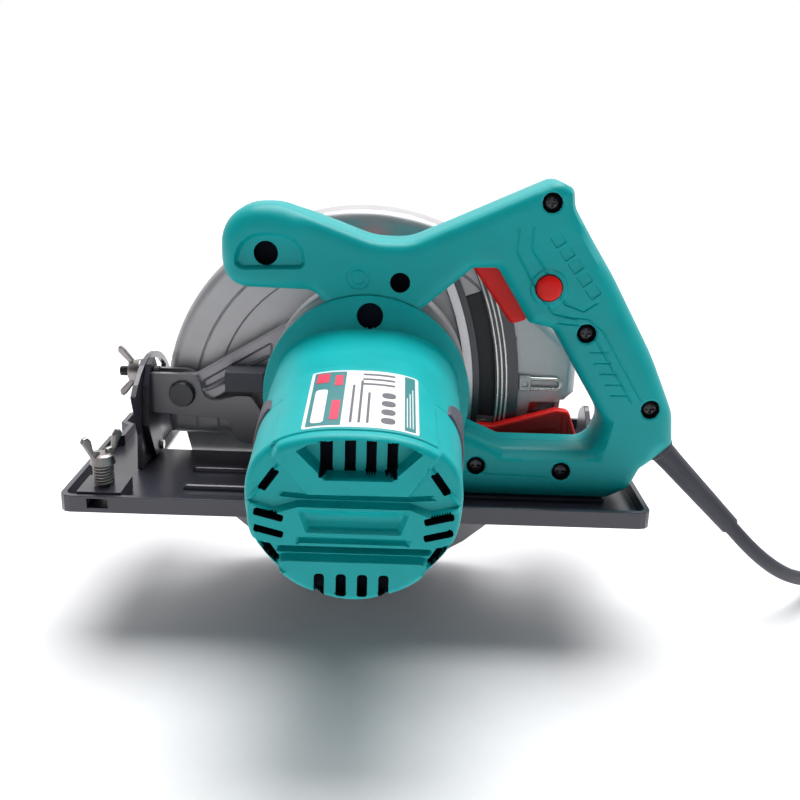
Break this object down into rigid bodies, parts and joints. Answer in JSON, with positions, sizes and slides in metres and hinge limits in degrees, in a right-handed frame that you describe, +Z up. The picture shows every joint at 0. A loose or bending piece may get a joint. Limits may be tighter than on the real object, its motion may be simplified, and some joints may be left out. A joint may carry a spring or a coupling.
{
  "type": "circular saw",
  "caption": "Corded circular saw with a vented motor cap, a closed rear handle with a front horn, blade guards and a tilting sole plate.",
  "frame": {"origin": "centre of the box of the saw without its cord, on the plane of its lowest point, which is the bottom of the lower blade guard; the sole plate is 66.9 mm above it", "axes": "+X to the rear of the saw, where the cord leaves the handle; +Y to the blade side; +Z up"},
  "size_m": [0.5113, 0.3014, 0.2192],
  "materials": {
    "teal_plastic": "satin teal moulded plastic with a fine texture",
    "red_plastic": "smooth red moulded plastic",
    "black_steel": "slate-black coated pressed steel",
    "cast_aluminium": "satin grey die-cast aluminium",
    "bright_steel": "zinc-plated steel",
    "blade_steel": "ground saw-blade steel",
    "dark_plastic": "black moulded plastic",
    "grey_plastic": "grey moulded plastic",
    "black_rubber": "dark grey rubber",
    "cord_rubber": "dark grey rubber cable sheath",
    "copper": "lacquered copper windings on laminated steel",
    "lamination_steel": "laminated steel",
    "carbon": "pressed carbon"
  },
  "bodies": {
    "base": {"base_plate": "black_steel", "guide_saddle": "black_steel", "guide_spring": "bright_steel", "front_bevel_bracket": "black_steel", "front_tilt_pin": "bright_steel", "rear_tilt_bracket": "black_steel", "rear_tilt_pin": "bright_steel"},
    "guide_bolt": {"guide_wing_bolt": "bright_steel"},
    "tilt_frame": {"front_hinge_bracket": "black_steel", "bevel_bolt": "bright_steel", "depth_pivot_pin": "bright_steel", "depth_quadrant": "black_steel"},
    "bevel_nut": {"bevel_wing_nut": "bright_steel"},
    "saw_body": {"upper_guard": "cast_aluminium", "gear_case": "cast_aluminium", "rubber_bumper": "black_rubber", "bearing_retainer": "cast_aluminium", "spindle_bearing_front": "bright_steel", "spindle_bearing_rear": "bright_steel", "guard_return_spring": "bright_steel", "bearing_plate": "cast_aluminium", "motor_bearing_front": "bright_steel", "motor_bearing_rear": "bright_steel", "field_stator": "lamination_steel", "carbon_brush_front": "carbon", "carbon_brush_rear": "carbon", "motor_housing": "teal_plastic", "brush_cover_front": "grey_plastic", "brush_cover_rear": "grey_plastic", "end_cap": "teal_plastic", "handle_near_half": "teal_plastic", "handle_far_half": "teal_plastic", "handle_screw_1": "bright_steel", "handle_screw_2": "bright_steel", "handle_screw_3": "bright_steel", "handle_screw_4": "bright_steel", "handle_screw_5": "bright_steel", "switch_body": "dark_plastic", "depth_clamp_bolt": "bright_steel", "strain_relief": "black_rubber", "cord_tube": "cord_rubber", "cord_coil": "cord_rubber", "plug_body": "dark_plastic", "plug_pin_1": "bright_steel", "plug_pin_2": "bright_steel"},
    "blade_spindle": {"spindle": "bright_steel", "spindle_gear": "bright_steel", "blade": "blade_steel", "outer_flange": "bright_steel", "arbor_bolt": "bright_steel"},
    "rotor": {"armature_shaft": "bright_steel", "armature": "copper", "cooling_fan": "dark_plastic"},
    "lower_guard": {"lower_guard": "cast_aluminium", "lower_guard_knob": "black_steel"},
    "trigger": {"trigger": "red_plastic"},
    "lock_button": {"lock_button": "red_plastic"},
    "spindle_lock": {"spindle_lock_button": "red_plastic"},
    "depth_lever": {"depth_lever": "red_plastic"}
  },
  "joints": [
    {"name": "bevel_tilt", "type": "hinge", "parent": "base", "child": "tilt_frame", "pos_m": [-0.00715, 0.0575, 0.0729], "axis": [-1, 0, 0], "range_deg": [0, 45]},
    {"name": "depth_adjust", "type": "hinge", "parent": "tilt_frame", "child": "saw_body", "pos_m": [-0.09715, 0.049, 0.1059], "axis": [0, -1, 0], "range_deg": [0, 32]},
    {"name": "blade_spin", "type": "hinge", "parent": "saw_body", "child": "blade_spindle", "pos_m": [-0.00715, 0.0725, 0.0958], "axis": [0, 1, 0], "continuous": true},
    {"name": "rotor_spin", "type": "hinge", "parent": "saw_body", "child": "rotor", "pos_m": [-0.00415, -0.0275, 0.1189], "axis": [0, 1, 0], "continuous": true},
    {"name": "guard_retract", "type": "hinge", "parent": "saw_body", "child": "lower_guard", "pos_m": [-0.00715, 0.0725, 0.0958], "axis": [0, -1, 0], "range_deg": [0, 100], "stiffness_Nm_per_rad": 0.15, "springref_deg": -28.65},
    {"name": "trigger_pull", "type": "hinge", "parent": "saw_body", "child": "trigger", "pos_m": [0.04885, 0.0215, 0.1829], "axis": [0, -1, 0], "range_deg": [0, 8], "stiffness_Nm_per_rad": 1, "springref_deg": -11.46},
    {"name": "lock_press", "type": "slide", "parent": "saw_body", "child": "lock_button", "axis": [0, 1, 0], "range_m": [0, 0.004], "stiffness_N_per_m": 400, "springref_m": -0.002},
    {"name": "spindle_lock_press", "type": "slide", "parent": "saw_body", "child": "spindle_lock", "axis": [0, 0, -1], "range_m": [0, 0.003], "stiffness_N_per_m": 400, "springref_m": -0.002},
    {"name": "depth_lever_turn", "type": "hinge", "parent": "saw_body", "child": "depth_lever", "pos_m": [0.05485, 0.0475, 0.0869], "axis": [0, -1, 0], "range_deg": [0, 50]},
    {"name": "bevel_nut_turn", "type": "hinge", "parent": "tilt_frame", "child": "bevel_nut", "pos_m": [-0.12115, 0.049, 0.1149], "axis": [1, 0, 0], "range_deg": [0, 180]},
    {"name": "guide_bolt_turn", "type": "hinge", "parent": "base", "child": "guide_bolt", "pos_m": [-0.12365, -0.0055, 0.0849], "axis": [0, 0, 1], "range_deg": [0, 180]}
  ],
  "couplings": [
    {"joint": "rotor_spin", "follows": "blade_spin", "ratio": -4.75}
  ]
}
